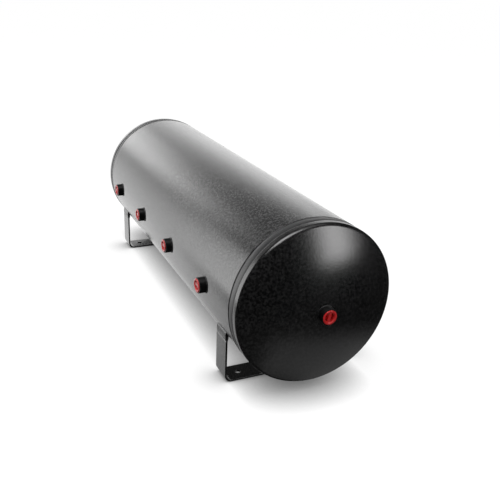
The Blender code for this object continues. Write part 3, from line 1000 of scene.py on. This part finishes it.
@dataclass
class RolledShell:
    """Plate rolled into a tube, pierced for its ports, with its seam along the back."""

    finishes: Finishes
    wall: float = 0.003
    end_rounding: float = 0.0005
    end_hold: float = 0.0008
    stations: int = 30
    segments: int = 256
    port_names: tuple[str, ...] = ("side_1", "side_2", "side_3", "side_4")
    hole_radius: float = 0.0103
    hole_depth: float = 0.024
    seam_angle: float = -15.0
    seam_half_width: float = 0.0030
    seam_height: float = 0.0009
    seam_lift: float = 0.0002
    seam_end_gap: float = 0.001

    def __post_init__(self) -> None:
        """Reads the shell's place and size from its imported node."""
        low, high = (Vector(corner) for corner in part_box("shell"))
        self.axis = (low + high) / 2
        self.radius = (high.z - low.z) / 2
        self.half_length = (high.x - low.x) / 2

    def section(self) -> bpy.types.Mesh:
        """The wall's section with rounded corners and stations along its two long sides."""
        half_wall = self.wall / 2
        r = self.end_rounding
        end = self.half_length
        points: list[Point2] = []
        for sign_x, sign_y, first in ((1, -1, -90), (1, 1, 0), (-1, 1, 90), (-1, -1, 180)):
            corner = (sign_x * (half_wall - r), sign_y * (end - r))
            points += arc(corner, r, first, first + 90, 30)
            if sign_x * sign_y < 0:
                reach = end - r
                # A ring close to each end keeps the rounding from bending the whole shell's shine
                levels = [reach - self.end_hold]
                levels += [reach - 2 * reach * i / self.stations for i in range(1, self.stations)]
                levels.append(self.end_hold - reach)
                points += [(sign_x * half_wall, sign_y * level) for level in levels]
        return path_mesh("wall_section", [Vector((x, y, 0)) for x, y in points], closed=True)

    def build(self) -> None:
        """Builds the shell and its seam bead."""
        spots = sorted(sum(Vector(c).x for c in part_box(f"{name}_bung")) / 2
                       for name in self.port_names)
        pitch = (spots[-1] - spots[0]) / (len(spots) - 1)
        middle = self.radius - self.wall / 2
        mesh = run_tree(self.section(), pierced_shell_tree(), "rolled_shell",
                        Middle_Radius=middle, Segments=self.segments,
                        Hole_Radius=self.hole_radius, Hole_Depth=self.hole_depth,
                        Port_Count=len(spots), Port_Pitch=pitch, Material=self.finishes.shell)
        along = Matrix(((0, 0, 1, 0), (0, 1, 0, 0), (-1, 0, 0, 0), (0, 0, 0, 1)))
        mesh.transform(Matrix.Translation(self.axis) @ along)
        gather(mesh)
        bare = [math.hypot(face.center.y - self.axis.y, face.center.z - self.axis.z) < middle
                for face in mesh.polygons]
        finish_piece("rolled_shell", mesh, (self.finishes.shell, self.finishes.scale),
                     Slot.SHELL, ["shell"], bare=bare)
        self.build_seam()

    def build_seam(self) -> None:
        """Lays the longitudinal bead, low and even, as a machine leaves it."""
        bead = WeldBead(half_across=self.seam_half_width, half_upright=self.seam_height,
                        toe_axis=(1, 0, 0), pitch=0.0030, ripple_height=0.00012,
                        end_taper=0.004, wander=0.0002, facets=14, seed=WELD_SEED + 40)
        reach = self.half_length - self.seam_end_gap
        path = [Vector((-reach, 0, 0)), Vector((reach, 0, 0))]
        mesh = bead.lay("shell_seam", path, False, self.finishes.weld)
        up = Quaternion((1, 0, 0), math.radians(self.seam_angle - 90)).to_matrix().to_4x4()
        mesh.transform(Matrix.Translation((0, 0, self.radius + self.seam_lift)))
        mesh.transform(Matrix.Translation(self.axis) @ up)
        finish_piece("shell_seam", mesh, (self.finishes.weld,), Slot.WELD, ["seam_weld"],
                     angle=60.0)


@dataclass
class DishedHead:
    """Pressed head with its flange and backing lip, and the girth bead that joins it."""

    side: Side
    finishes: Finishes
    wall: float = 0.003
    knuckle: float = 0.006
    depth: float = 0.025
    flange: float = 0.007
    groove: float = 0.012
    lip: float = 0.012
    hole_radius: float = 0.0103
    edge_rounding: float = 0.0009
    crown_step: float = 0.35
    knuckle_step: float = 3.0
    segments: int = 256
    bead_half_width: float = 0.0059
    bead_crown_drop: float = 0.0002
    bead_middle_drop: float = 0.0009

    def __post_init__(self) -> None:
        """Reads the tank's axis and ends from the shell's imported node."""
        low, high = (Vector(corner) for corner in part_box("shell"))
        self.axis = (low + high) / 2
        self.radius = (high.z - low.z) / 2
        shell_end = (high.x - low.x) / 2
        outward = self.side.outward
        self.bead_middle = self.axis + outward * (shell_end + self.groove / 2)
        self.tangent = self.axis + outward * (shell_end + self.groove + self.flange)

    def dish(self, radius: float, depth: float, knuckle: float) -> list[Point2]:
        """Outline from the port's hole over the dish and knuckle to the tangent line.

        Args:
            radius: The outline's largest radius.
            depth: Height of its crown.
            knuckle: Radius of its knuckle.

        Returns:
            Points of (radius, height), from the hole outwards.
        """
        reach = radius - knuckle
        dish = (reach ** 2 + depth ** 2 - knuckle ** 2) / (2 * (depth - knuckle))
        meet = math.degrees(math.atan2(dish - depth, reach))
        start = math.degrees(math.acos(self.hole_radius / dish))
        crown = arc((0.0, depth - dish), dish, start, meet, self.crown_step)
        corner = arc((reach, 0.0), knuckle, meet, 0.0, self.knuckle_step)
        return crown + corner[1:]

    def build(self) -> None:
        """Builds the head and its girth bead."""
        e = self.edge_rounding
        lip_outer = self.radius - self.wall - GAP
        lip_inner = lip_outer - self.wall
        lip_end = -self.flange - self.groove - self.lip
        profile = self.dish(self.radius, self.depth, self.knuckle)
        profile += arc((self.radius - e, e - self.flange), e, 0, -90, 6)
        profile += [(lip_outer, -self.flange), (lip_outer, lip_end), (lip_inner, lip_end),
                    (lip_inner, -self.flange)]
        inside = self.dish(self.radius - self.wall, self.depth - self.wall,
                           self.knuckle - self.wall)
        name = f"{self.side.label}_dished_head"
        mesh = turned(name, profile + inside[::-1], self.segments)
        mesh.transform(standing(self.tangent, self.side.outward))
        finish_piece(name, mesh, (self.finishes.head,), Slot.HEAD, [f"{self.side.label}_head"])
        self.build_bead()

    def build_bead(self) -> None:
        """Lays the rippled bead in the groove between shell and flange."""
        middle = self.radius - self.bead_middle_drop
        bead = WeldBead(half_across=self.bead_middle_drop - self.bead_crown_drop,
                        half_upright=self.bead_half_width, toe_axis=(0, 1, 0), pitch=0.0028,
                        ripple_height=0.00018, lag=1.3, wander=0.0003, facets=24,
                        seed=WELD_SEED + self.side.value)
        ring = [Vector((x, y, 0)) for x, y in arc((0, 0), middle, 0, 360, 1.5)[:-1]]
        name = f"{self.side.label}_girth_bead"
        mesh = bead.lay(name, ring, True, self.finishes.weld)
        mesh.transform(standing(self.bead_middle, self.side.outward))
        finish_piece(name, mesh, (self.finishes.weld,), Slot.WELD,
                     [f"{self.side.label}_girth_weld"], angle=60.0)


@dataclass
class PushPlug:
    """Hollow push-in plug: rounded flange, two pockets either side of a grip bar, ribbed stem."""

    material: bpy.types.Material
    flange_radius: float = 0.0088
    flange_thickness: float = 0.0012
    flange_rounding: float = 0.0006
    seat: float = GAP
    depth: float = 0.009
    stem_radius: float = 0.0064
    tip_chamfer: float = 0.0007
    rib_radius: float = 0.00660
    rib_half_width: float = 0.0006
    rib_count: int = 8
    rib_below_seat: float = 0.0012
    rib_above_tip: float = 0.0020
    rib_root: float = 0.0003
    rib_lead_in: float = 0.4
    mouth_radius: float = 0.0067
    floor_radius: float = 0.0054
    floor: float = 0.0014
    bar_width: float = 0.0038
    bar_recess: float = 0.0012
    bar_rounding: float = 0.0005
    bar_bite: float = 0.0006
    segments: int = 96

    def cup(self, name: str) -> bpy.types.Mesh:
        """The plug without its bar, seated at height 0 with its face up."""
        face = self.seat + self.flange_thickness
        end = self.seat - self.depth
        r = self.flange_rounding
        mouth = self.mouth_radius
        profile = [(0.0, end + self.floor)]
        profile += arc((self.floor_radius - 2 * r, end + self.floor + 2 * r), 2 * r, -90, 0, 30)
        profile += [(self.floor_radius + r / 2, self.seat)]
        profile += arc((mouth + r / 2, face - r), r, 180, 90, 15)
        profile += arc((self.flange_radius - r, face - r), r, 90, 0, 15)
        profile += arc((self.flange_radius - r / 2, self.seat + r / 2), r / 2, 0, -90, 30)
        profile += arc((self.stem_radius + r, self.seat - r), r, 90, 180, 30)
        profile += [(self.stem_radius, end + 2 * self.tip_chamfer),
                    (self.stem_radius - self.tip_chamfer, end), (0.0, end)]
        return turned(name, profile, self.segments, closed=False)

    def bar(self, name: str) -> bpy.types.Mesh:
        """The grip bar across the cup, with rounded upper edges."""
        end = self.seat - self.depth
        low = end + self.floor / 2
        high = self.seat + self.flange_thickness - self.bar_recess
        length = 2 * (self.floor_radius + self.bar_bite)
        work = bmesh.new()
        bmesh.ops.create_cube(work, size=1.0)
        bmesh.ops.scale(work, verts=work.verts, vec=(length, self.bar_width, high - low))
        bmesh.ops.translate(work, verts=work.verts, vec=(0, 0, (high + low) / 2))
        return bevelled(mesh_from(work, name), self.bar_rounding, segments=3)

    def ribs(self, name: str) -> bpy.types.Mesh:
        """The crush ribs round the stem."""
        high = self.seat - self.rib_below_seat
        low = self.seat - self.depth + self.rib_above_tip
        middle = (high + low) / 2
        inner = self.stem_radius - self.rib_root
        work = bmesh.new()
        bmesh.ops.create_cone(work, cap_ends=True, segments=12, radius1=0.5, radius2=0.5,
                              depth=1.0)
        bmesh.ops.scale(work, verts=work.verts,
                        vec=(2 * (self.rib_radius - inner), 2 * self.rib_half_width, high - low))
        bmesh.ops.translate(work, verts=work.verts, vec=(inner, 0, middle))
        for vert in work.verts:
            if vert.co.z < middle:
                vert.co.x = inner + (vert.co.x - inner) * self.rib_lead_in
        return run_tree(mesh_from(work, f"{name}_rib"), crush_rib_tree(), name,
                        Count=self.rib_count, Material=self.material)

    def build(self, port: str, matrix: Matrix) -> None:
        """Builds the plug of one port.

        Args:
            port: The port's name.
            matrix: Puts the plug's seat on the collar's face, its own Z outwards.
        """
        name = f"{port}_push_plug"
        mesh = combined(self.cup(name), self.bar(f"{name}_bar"), "UNION")
        gather(mesh, self.ribs(f"{name}_ribs"), outward=False)
        mesh.transform(matrix)
        body = f"{port}_plug"
        piece = finish_piece(name, mesh, (self.material,), Slot.PLUG, [body], body=body,
                             angle=40.0)
        piece.visible_glossy = False


@dataclass
class PortFitting:
    """A tapped collar welded into the tank, and the plug pushed into it."""

    name: str
    facing: Facing
    clocking: float
    finishes: Finishes
    radius: float = 0.010
    bore_radius: float = 0.0069
    chamfer: float = 0.0005
    seat_radius: float = 0.0091
    seat_depth: float = 0.0002
    mouth_chamfer: float = 0.0006
    thread_root: float = 0.00745
    thread_pitch: float = 0.00141
    thread_bite: float = 0.0002
    thread_root_share: float = 0.46
    thread_crest_share: float = 0.10
    weld_height: float = 0.0021
    bead_radius: float = 0.0010
    bead_offset: float = 0.0001
    bead_lift: float = 0.0001
    segments: int = 96

    def __post_init__(self) -> None:
        """Reads the port's face and depth from its imported collar, and the shell's radius."""
        low, high = (Vector(corner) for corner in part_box(f"{self.name}_bung"))
        centre = (low + high) / 2
        reach = abs((high - low).dot(self.facing.outward)) / 2
        self.face = centre + self.facing.outward * reach
        self.length = 2 * reach
        weld_low, weld_high = (Vector(corner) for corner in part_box(f"{self.name}_bung_weld"))
        weld_top = max(weld_low.dot(self.facing.outward), weld_high.dot(self.facing.outward))
        self.proud = self.face.dot(self.facing.outward) - weld_top + self.weld_height
        shell_low, shell_high = (Vector(corner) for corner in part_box("shell"))
        self.shell_radius = (shell_high.z - shell_low.z) / 2

    def build(self) -> None:
        """Builds the collar with its thread, the bead round it and the plug."""
        self.build_collar()
        self.build_bead()
        PushPlug(self.finishes.plug).build(self.name,
                                           standing(self.face, self.facing.outward,
                                                    self.clocking))

    def build_collar(self) -> None:
        """Turns the collar and winds the thread inside its bore."""
        c = self.chamfer
        m = self.mouth_chamfer
        bottom = -self.length
        root = self.thread_root
        profile = arc((self.radius - c, -c), c, 90, 0, 15)
        seat = -self.seat_depth
        profile += [(self.radius, bottom + c), (self.radius - c, bottom),
                    (root + m, bottom), (root, bottom + m), (root, seat - m), (root + m, seat),
                    (self.seat_radius, seat), (self.seat_radius, 0.0)]
        name = f"{self.name}_tapped_collar"
        mesh = turned(name, profile, self.segments)
        crest = self.bore_radius
        half_root = self.thread_pitch * self.thread_root_share
        half_crest = self.thread_pitch * self.thread_crest_share
        bite = self.thread_bite
        section = [Vector((bite, -half_root, 0)), Vector((bite, half_root, 0)),
                   Vector((crest - root, half_crest, 0)), Vector((crest - root, -half_crest, 0))]
        length = self.length - 2 * m
        thread = run_tree(path_mesh(f"{name}_section", section, True), thread_tree(),
                          f"{name}_thread", Root_Radius=root,
                          Turns=length / self.thread_pitch, Length=length,
                          Material=self.finishes.thread)
        thread.transform(Matrix.Translation((0, 0, bottom + m)))
        gather(mesh, thread)
        bare = [math.hypot(*face.center[:2]) < root + m / 2 for face in mesh.polygons]
        mesh.transform(standing(self.face, self.facing.outward))
        piece = finish_piece(name, mesh, (self.finishes.bung, self.finishes.thread), Slot.BUNG,
                             [f"{self.name}_bung"], bare=bare)
        piece.visible_glossy = False

    def build_bead(self) -> None:
        """Lays the fillet bead, which on the shell rides over its curve like a saddle."""
        bead = WeldBead(half_across=self.bead_radius, half_upright=self.bead_radius,
                        toe_axis=(math.sqrt(0.5), -math.sqrt(0.5), 0), pitch=0.0019,
                        ripple_height=0.00012, lag=0.9, wander=0.0002, facets=16,
                        seed=WELD_SEED + sum(map(ord, self.name)) % 17)
        ring_radius = self.radius + self.bead_offset
        path: list[Vector] = []
        along = self.facing.outward.to_track_quat("Z", "Y").inverted() @ Vector((1, 0, 0))
        for x, y in arc((0, 0), ring_radius, 0, 360, 5)[:-1]:
            spot = Vector((x, y, 0))
            drop = 0.0
            if self.facing.on_shell:
                across = (spot - along * spot.dot(along)).length
                drop = self.shell_radius - math.sqrt(self.shell_radius ** 2 - across ** 2)
            path.append(Vector((x, y, -self.proud - drop + self.bead_lift)))
        name = f"{self.name}_collar_bead"
        mesh = bead.lay(name, path, True, self.finishes.collar_weld)
        mesh.transform(standing(self.face, self.facing.outward))
        piece = finish_piece(name, mesh, (self.finishes.collar_weld,), Slot.WELD,
                             [f"{self.name}_bung_weld"], angle=60.0)
        piece.visible_glossy = False


@dataclass
class CradleStrap:
    """Flat strap bent into a U, welded to the shell by its two bevelled legs."""

    side: Side
    finishes: Finishes
    thickness: float = 0.0025
    bend: float = 0.010
    leg_bevel: float = 0.0082
    bolt_hole: float = 0.0071
    bolt_spacing: float = 0.1334
    edge_rounding: float = 0.00035
    bead_half_depth: float = 0.0022
    bead_half_height: float = 0.0078
    bead_proud: float = 0.0004

    def __post_init__(self) -> None:
        """Reads the strap's box and the tank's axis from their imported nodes."""
        self.low, self.high = (Vector(c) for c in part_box(f"{self.side.label}_bracket"))
        low, high = (Vector(corner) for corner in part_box("shell"))
        self.axis = (low + high) / 2
        self.radius = (high.z - low.z) / 2
        self.centre = Vector(((self.low.x + self.high.x) / 2, self.axis.y, 0))
        self.width = self.high.x - self.low.x
        self.leg_outer = (self.high.y - self.low.y) / 2

    def outline(self) -> list[Point2]:
        """The strap's outline in Y and Z, from the front leg's top round to the back leg's."""
        outer = self.leg_outer
        inner = outer - self.thickness
        top = self.high.z
        corner = outer - self.bend
        half = [(inner, top), (outer, top - self.leg_bevel)]
        half += arc((corner, self.bend), self.bend, 0, -90, 6)
        inner_half = arc((corner, self.bend), self.bend - self.thickness, 0, -90, 6)
        other = [(-y, z) for y, z in reversed(half)]
        inner_other = [(-y, z) for y, z in inner_half]
        return half + other + inner_other + list(reversed(inner_half))

    def build(self) -> None:
        """Builds the strap with its bolt holes, and the bead on each leg."""
        name = f"{self.side.label}_cradle_strap"
        work = bmesh.new()
        face = work.faces.new([work.verts.new((-self.width / 2, y, z))
                               for y, z in self.outline()])
        grown = bmesh.ops.extrude_face_region(work, geom=[face])
        moved = [item for item in grown["geom"] if isinstance(item, bmesh.types.BMVert)]
        bmesh.ops.translate(work, verts=moved, vec=(self.width, 0, 0))
        mesh = mesh_from(work, name)
        for y in (-self.bolt_spacing / 2, self.bolt_spacing / 2):
            drill = bmesh.new()
            bmesh.ops.create_cone(drill, cap_ends=True, segments=48, radius1=self.bolt_hole / 2,
                                  radius2=self.bolt_hole / 2, depth=6 * self.thickness,
                                  matrix=Matrix.Translation((0, y, 0)))
            mesh = combined(mesh, mesh_from(drill, f"{name}_drill"), "DIFFERENCE")
        mesh = bevelled(mesh, self.edge_rounding)
        mesh.transform(Matrix.Translation(self.centre))
        finish_piece(name, mesh, (self.finishes.bracket,), Slot.BRACKET,
                     [f"{self.side.label}_bracket"], angle=15.0)
        for label, sign in (("front", -1), ("back", 1)):
            self.build_bead(label, sign)

    def build_bead(self, label: str, sign: int) -> None:
        """Lays the bead that fills one leg's bevel, up onto the shell.

        Args:
            label: front or back.
            sign: -1 for the leg at -Y, 1 for the leg at +Y.
        """
        bead = WeldBead(half_across=self.bead_half_depth, half_upright=self.bead_half_height,
                        toe_axis=(0, 1, 0), pitch=0.0023, ripple_height=0.00015, lag=1.0,
                        end_taper=0.03, wander=0.0003, facets=20,
                        seed=WELD_SEED + 3 * self.side.value + sign)
        reach = self.width / 2 - GAP
        path = [Vector((-reach, 0, 0)), Vector((reach, 0, 0))]
        name = f"{self.side.label}_{label}_leg_bead"
        mesh = bead.lay(name, path, False, self.finishes.bracket)
        # The bead's face runs on from the leg's outer face, from its bevel up to the shell
        y = self.leg_outer + self.bead_proud - self.bead_half_depth
        shell_z = self.axis.z - math.sqrt(self.radius ** 2 - self.leg_outer ** 2)
        bevel_z = self.high.z - self.leg_bevel
        mesh.transform(Matrix.Translation(self.centre
                                          + Vector((0, sign * y, (shell_z + bevel_z) / 2))))
        finish_piece(name, mesh, (self.finishes.bracket,), Slot.WELD,
                     [f"{self.side.label}_bracket_{label}_weld"], angle=60.0)


# ------------------------------------------------------------------------------------- studio

@dataclass(frozen=True)
class Softbox:
    """One square studio lamp."""

    name: str
    position: tuple[float, float, float]
    aim: tuple[float, float, float]
    width: float
    height: float
    power: float
    colour: Colour = WHITE

    def build(self) -> None:
        """Hangs the lamp and turns it to its aim."""
        lamp = bpy.data.lights.new(self.name, "AREA")
        lamp.shape = "RECTANGLE"
        lamp.size = self.width
        lamp.size_y = self.height
        lamp.energy = self.power
        lamp.color = self.colour
        holder = bpy.data.objects.new(self.name, lamp)
        bpy.context.scene.collection.objects.link(holder)
        place = Vector(self.position)
        holder.location = place
        holder.rotation_euler = (place - Vector(self.aim)).to_track_quat("Z", "Y").to_euler()
        log.info("%s: %.1f W", self.name, self.power)


@dataclass(frozen=True)
class GlowPanel:
    """One soft-edged lit wall of the studio, which shows only in the coat's shine.

    Azimuth is measured from -X towards +Y. All angles are in degrees.
    """

    name: str
    azimuth: float
    elevation: float
    half_width: float
    half_height: float
    soft_sides: float
    soft_ends: float
    strength: float

    def glow(self, graph: Graph, azimuth: Feed, elevation: Feed) -> bpy.types.NodeSocket:
        """Adds the nodes for this panel.

        Args:
            graph: The world's graph.
            azimuth: The ray's azimuth.
            elevation: The ray's elevation.

        Returns:
            The panel's brightness in the ray's direction.
        """
        aside = graph.math("ABSOLUTE", graph.math("SUBTRACT", azimuth, self.azimuth))
        above = graph.math("ABSOLUTE", graph.math("SUBTRACT", elevation, self.elevation))
        across = graph.remap(aside, self.half_width, self.half_width + self.soft_sides,
                             1.0, 0.0, smooth=True)
        upright = graph.remap(above, self.half_height, self.half_height + self.soft_ends,
                              1.0, 0.0, smooth=True)
        log.info("%s: strength %.2f", self.name, self.strength)
        return graph.math("MULTIPLY", graph.math("MULTIPLY", across, upright), self.strength)


@dataclass
class Studio:
    """Plain pale floor, soft lamps, lit walls and the camera."""

    camera_place: tuple[float, float, float] = (0.9000, -0.3567, 0.4656)
    azimuth: float = 65.24
    elevation: float = 22.11
    roll: float = 2.24
    lens: float = 47.83
    floor_half: float = 20.0
    floor_glow: float = 0.90
    floor_colour: float = 0.18
    # Reach and strength of the painted contact shadow that dims the floor's glow
    contact_reach: float = 0.045
    contact_power: float = 1.3
    ambient: float = 0.55
    room_glow: float = 0.02

    def build(self) -> None:
        """Builds floor, world, lamps and camera."""
        scene = bpy.context.scene
        scene.view_settings.view_transform = "Standard"
        self.build_floor()
        self.build_world()
        for lamp in self.lamps():
            lamp.build()
        self.build_camera()

    def lamps(self) -> list[Softbox]:
        """The studio's lamps."""
        return [
            Softbox("overhead_softbox", (0.4, -0.6, 2.2), (0.0, 0.0, 0.1), 1.6, 1.2, 26.0),
        ]

    def panels(self) -> list[GlowPanel]:
        """The lit walls round the tank."""
        # Azimuth, elevation, half width, half height, softness of sides and of ends, strength
        return [
            GlowPanel("end_wall", 9, 16, 23, 2, 7, 17, 1.03),
            GlowPanel("table_end", 7, -12, 28, 4, 13, 36, 1.41),
            GlowPanel("front_corner_strip", -40, 2, 8, 15, 7, 7, 2.4),
            GlowPanel("end_window", -9, 14, 7, 3, 8, 7, 1.6),
            GlowPanel("back_corner_strip", 143, 17, 4, 13, 13, 8, 5.6),
            GlowPanel("table_near", 126, -54, 46, 7, 32, 13, 0.26),
            GlowPanel("ceiling", 0, 90, 180, 22, 1, 20, 0.6),
        ]

    def build_floor(self) -> None:
        """Lays the floor, white where it is seen, with a painted contact shadow that dims its glow
        near the tank, and matt where it catches the shadow.
        """
        work = bmesh.new()
        bmesh.ops.create_grid(work, x_segments=1, y_segments=1, size=self.floor_half)
        mesh = mesh_from(work, "studio_floor")
        floor = bpy.data.objects.new("studio_floor", mesh)
        bpy.context.scene.collection.objects.link(floor)
        floor.visible_glossy = False
        material = bpy.data.materials.new("pale_floor")
        material.use_nodes = True
        graph = Graph(material.node_tree)
        shader = material.node_tree.nodes["Principled BSDF"]
        shader.inputs["Base Color"].default_value = rgba((self.floor_colour,) * 3)
        shader.inputs["Roughness"].default_value = 0.9
        shader.inputs["Specular IOR Level"].default_value = 0.0
        shader.inputs["Emission Color"].default_value = rgba(WHITE)
        path = graph.add("ShaderNodeLightPath")
        seen = graph.math("MAXIMUM", path.outputs["Is Camera Ray"],
                          path.outputs["Is Transmission Ray"])
        # Ambient occlusion dims the floor's glow under and beside the tank: a painted contact shadow
        contact = graph.add("ShaderNodeAmbientOcclusion", {"Distance": self.contact_reach},
                            samples=8)
        glow_left_by_painted_shadow = graph.math("POWER", contact.outputs["AO"], self.contact_power)
        glow = graph.math("MULTIPLY", graph.math("MULTIPLY", seen, glow_left_by_painted_shadow), self.floor_glow)
        graph.feed(shader.inputs["Emission Strength"], glow)
        mesh.materials.append(material)

    def build_world(self) -> None:
        """Sets the surroundings: white where seen, lit walls in the shine, soft light elsewhere."""
        world = bpy.data.worlds.new("studio_surroundings")
        bpy.context.scene.world = world
        world.use_nodes = True
        graph = Graph(world.node_tree)
        background = world.node_tree.nodes["Background"]
        direction = graph.add("ShaderNodeTexCoord").outputs["Generated"]
        parts = graph.add("ShaderNodeSeparateXYZ", {0: direction})
        away = graph.math("MULTIPLY", parts.outputs["X"], -1.0)
        azimuth = graph.math("DEGREES", graph.math("ARCTAN2", parts.outputs["Y"], away))
        elevation = graph.math("DEGREES", graph.math("ARCSINE", parts.outputs["Z"]))
        shine: Feed = self.room_glow
        for panel in self.panels():
            shine = graph.math("ADD", panel.glow(graph, azimuth, elevation), shine)
        path = graph.add("ShaderNodeLightPath")
        soft = graph.add("ShaderNodeMix", {"Factor": path.outputs["Is Glossy Ray"],
                                           "A": self.ambient, "B": shine})
        seen = graph.math("MAXIMUM", path.outputs["Is Camera Ray"],
                          path.outputs["Is Transmission Ray"])
        strength = graph.add("ShaderNodeMix", {"Factor": seen, "A": soft.outputs["Result"],
                                               "B": 1.0})
        background.inputs["Color"].default_value = rgba(WHITE)
        graph.feed(background.inputs["Strength"], strength.outputs["Result"])

    def build_camera(self) -> None:
        """Sets the camera from its place, its two angles and its roll."""
        turn = math.radians(self.azimuth)
        tilt = math.radians(self.elevation)
        back = Vector((math.sin(turn) * math.cos(tilt), -math.cos(turn) * math.cos(tilt),
                       math.sin(tilt)))
        level = back.to_track_quat("Z", "Y")
        camera = bpy.data.cameras.new("studio_camera")
        camera.lens = self.lens
        camera.clip_end = 100.0
        holder = bpy.data.objects.new("studio_camera", camera)
        bpy.context.scene.collection.objects.link(holder)
        rolled = level @ Quaternion((0, 0, 1), math.radians(self.roll))
        holder.matrix_world = (Matrix.Translation(self.camera_place)
                               @ rolled.to_matrix().to_4x4())
        bpy.context.scene.camera = holder
        log.info("camera at azimuth %.1f, elevation %.1f", self.azimuth, self.elevation)


def main() -> None:
    """Builds the studio and every sub-assembly in order."""
    logging.basicConfig(level=logging.INFO, format="%(name)s: %(message)s")
    Studio().build()
    finishes = Finishes()
    RolledShell(finishes).build()
    for side in Side:
        DishedHead(side, finishes).build()
        CradleStrap(side, finishes).build()
    ports = [(f"side_{i + 1}", Facing.FRONT, 8.0 - 5.0 * i) for i in range(4)]
    ports += [("drain", Facing.FLOOR, 20.0), ("right_end", Facing.RIGHT, 80.0),
              ("left_end", Facing.LEFT, -35.0)]
    for name, facing, clocking in ports:
        PortFitting(name, facing, clocking, finishes).build()


if __name__ == "__main__":
    main()
